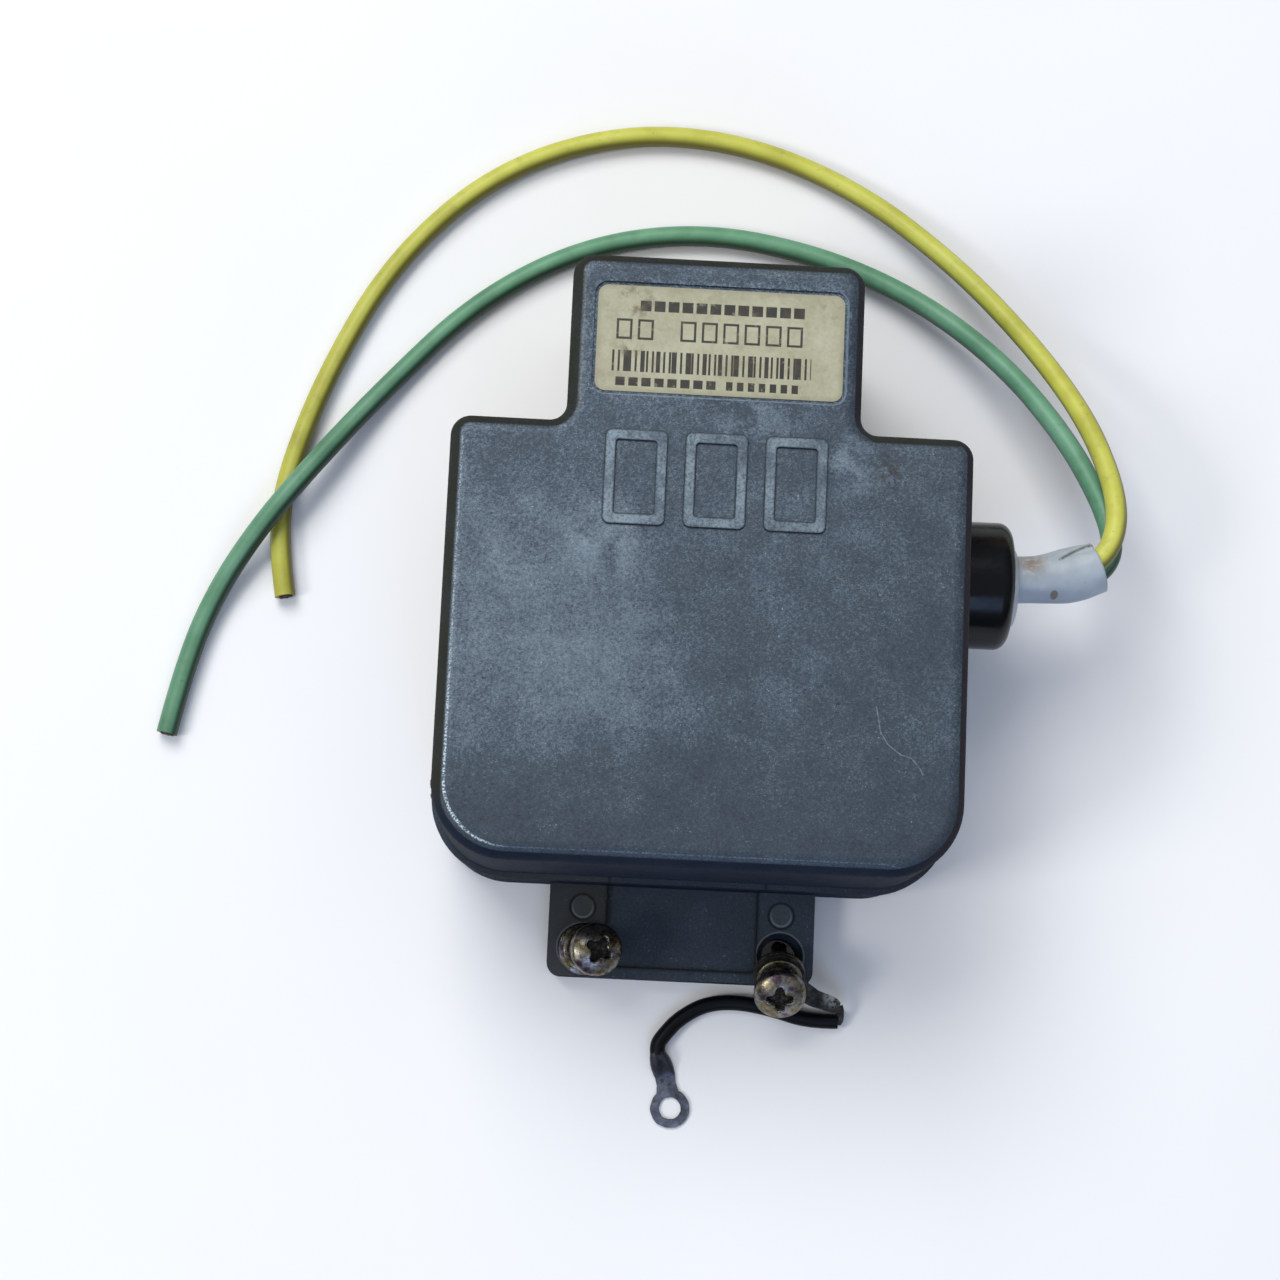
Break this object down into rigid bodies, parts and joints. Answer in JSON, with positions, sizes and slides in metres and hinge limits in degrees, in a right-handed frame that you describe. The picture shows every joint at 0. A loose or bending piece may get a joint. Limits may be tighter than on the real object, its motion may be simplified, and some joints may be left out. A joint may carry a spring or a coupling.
{
  "type": "magnetron",
  "caption": "Small pulsed X-band magnetron in a T-shaped die-cast housing, with a waveguide flange, a black high-voltage bushing and two cut leads.",
  "frame": {"origin": "centre of the waveguide port, on the plane of the flange face that the object rests on", "axes": "+Z away from the waveguide, out of the front cover; +Y towards the narrow neck; +X towards the high-voltage bushing and leads"},
  "size_m": [0.1497, 0.1621, 0.0463],
  "materials": {
    "casting": "as-cast, dull, blue-grey with light wear",
    "label_film": "aged cream film with dark printed bars",
    "plated_steel": "yellow-passivated zinc, worn",
    "soft_iron": "plated soft iron",
    "magnet": "ground sintered magnet",
    "copper": "oxygen-free copper, machined",
    "cathode_metal": "nickel, molybdenum and tungsten",
    "ceramic": "opaque white alumina",
    "black_moulding": "glossy black moulding",
    "white_silicone": "white silicone rubber, stained",
    "yellow_insulation": "yellow silicone insulation",
    "green_insulation": "pale green silicone insulation",
    "black_insulation": "black insulation",
    "tinned_copper": "tin-plated copper, dull"
  },
  "bodies": {
    "root": {"front_cover": "casting", "rear_housing": "casting", "name_label": "label_film", "cover_screws": "plated_steel", "yoke_screws": "plated_steel", "return_yoke": "soft_iron", "magnet_left": "magnet", "magnet_right": "magnet", "pole_piece_left": "soft_iron", "pole_piece_right": "soft_iron", "anode_block": "copper", "strap_rings": "copper", "cathode_sleeve": "cathode_metal", "cathode_end_hats": "cathode_metal", "heater_coil": "cathode_metal", "cathode_stalk": "cathode_metal", "heater_rod": "cathode_metal", "cathode_insulator": "ceramic", "insulator_cap": "soft_iron", "exhaust_tube": "copper", "output_transition": "copper", "output_window": "ceramic", "hv_bushing": "black_moulding", "potting_bead": "white_silicone", "lead_sleeve": "white_silicone", "yellow_lead": "yellow_insulation", "green_lead": "green_insulation", "captive_screw_left": "plated_steel", "captive_screw_right": "plated_steel", "plain_washer_left": "plated_steel", "plain_washer_right": "plated_steel", "spring_washer_left": "plated_steel", "spring_washer_right": "plated_steel", "earth_lug": "tinned_copper", "earth_lead": "black_insulation", "ring_terminal": "tinned_copper"}
  },
  "joints": []
}
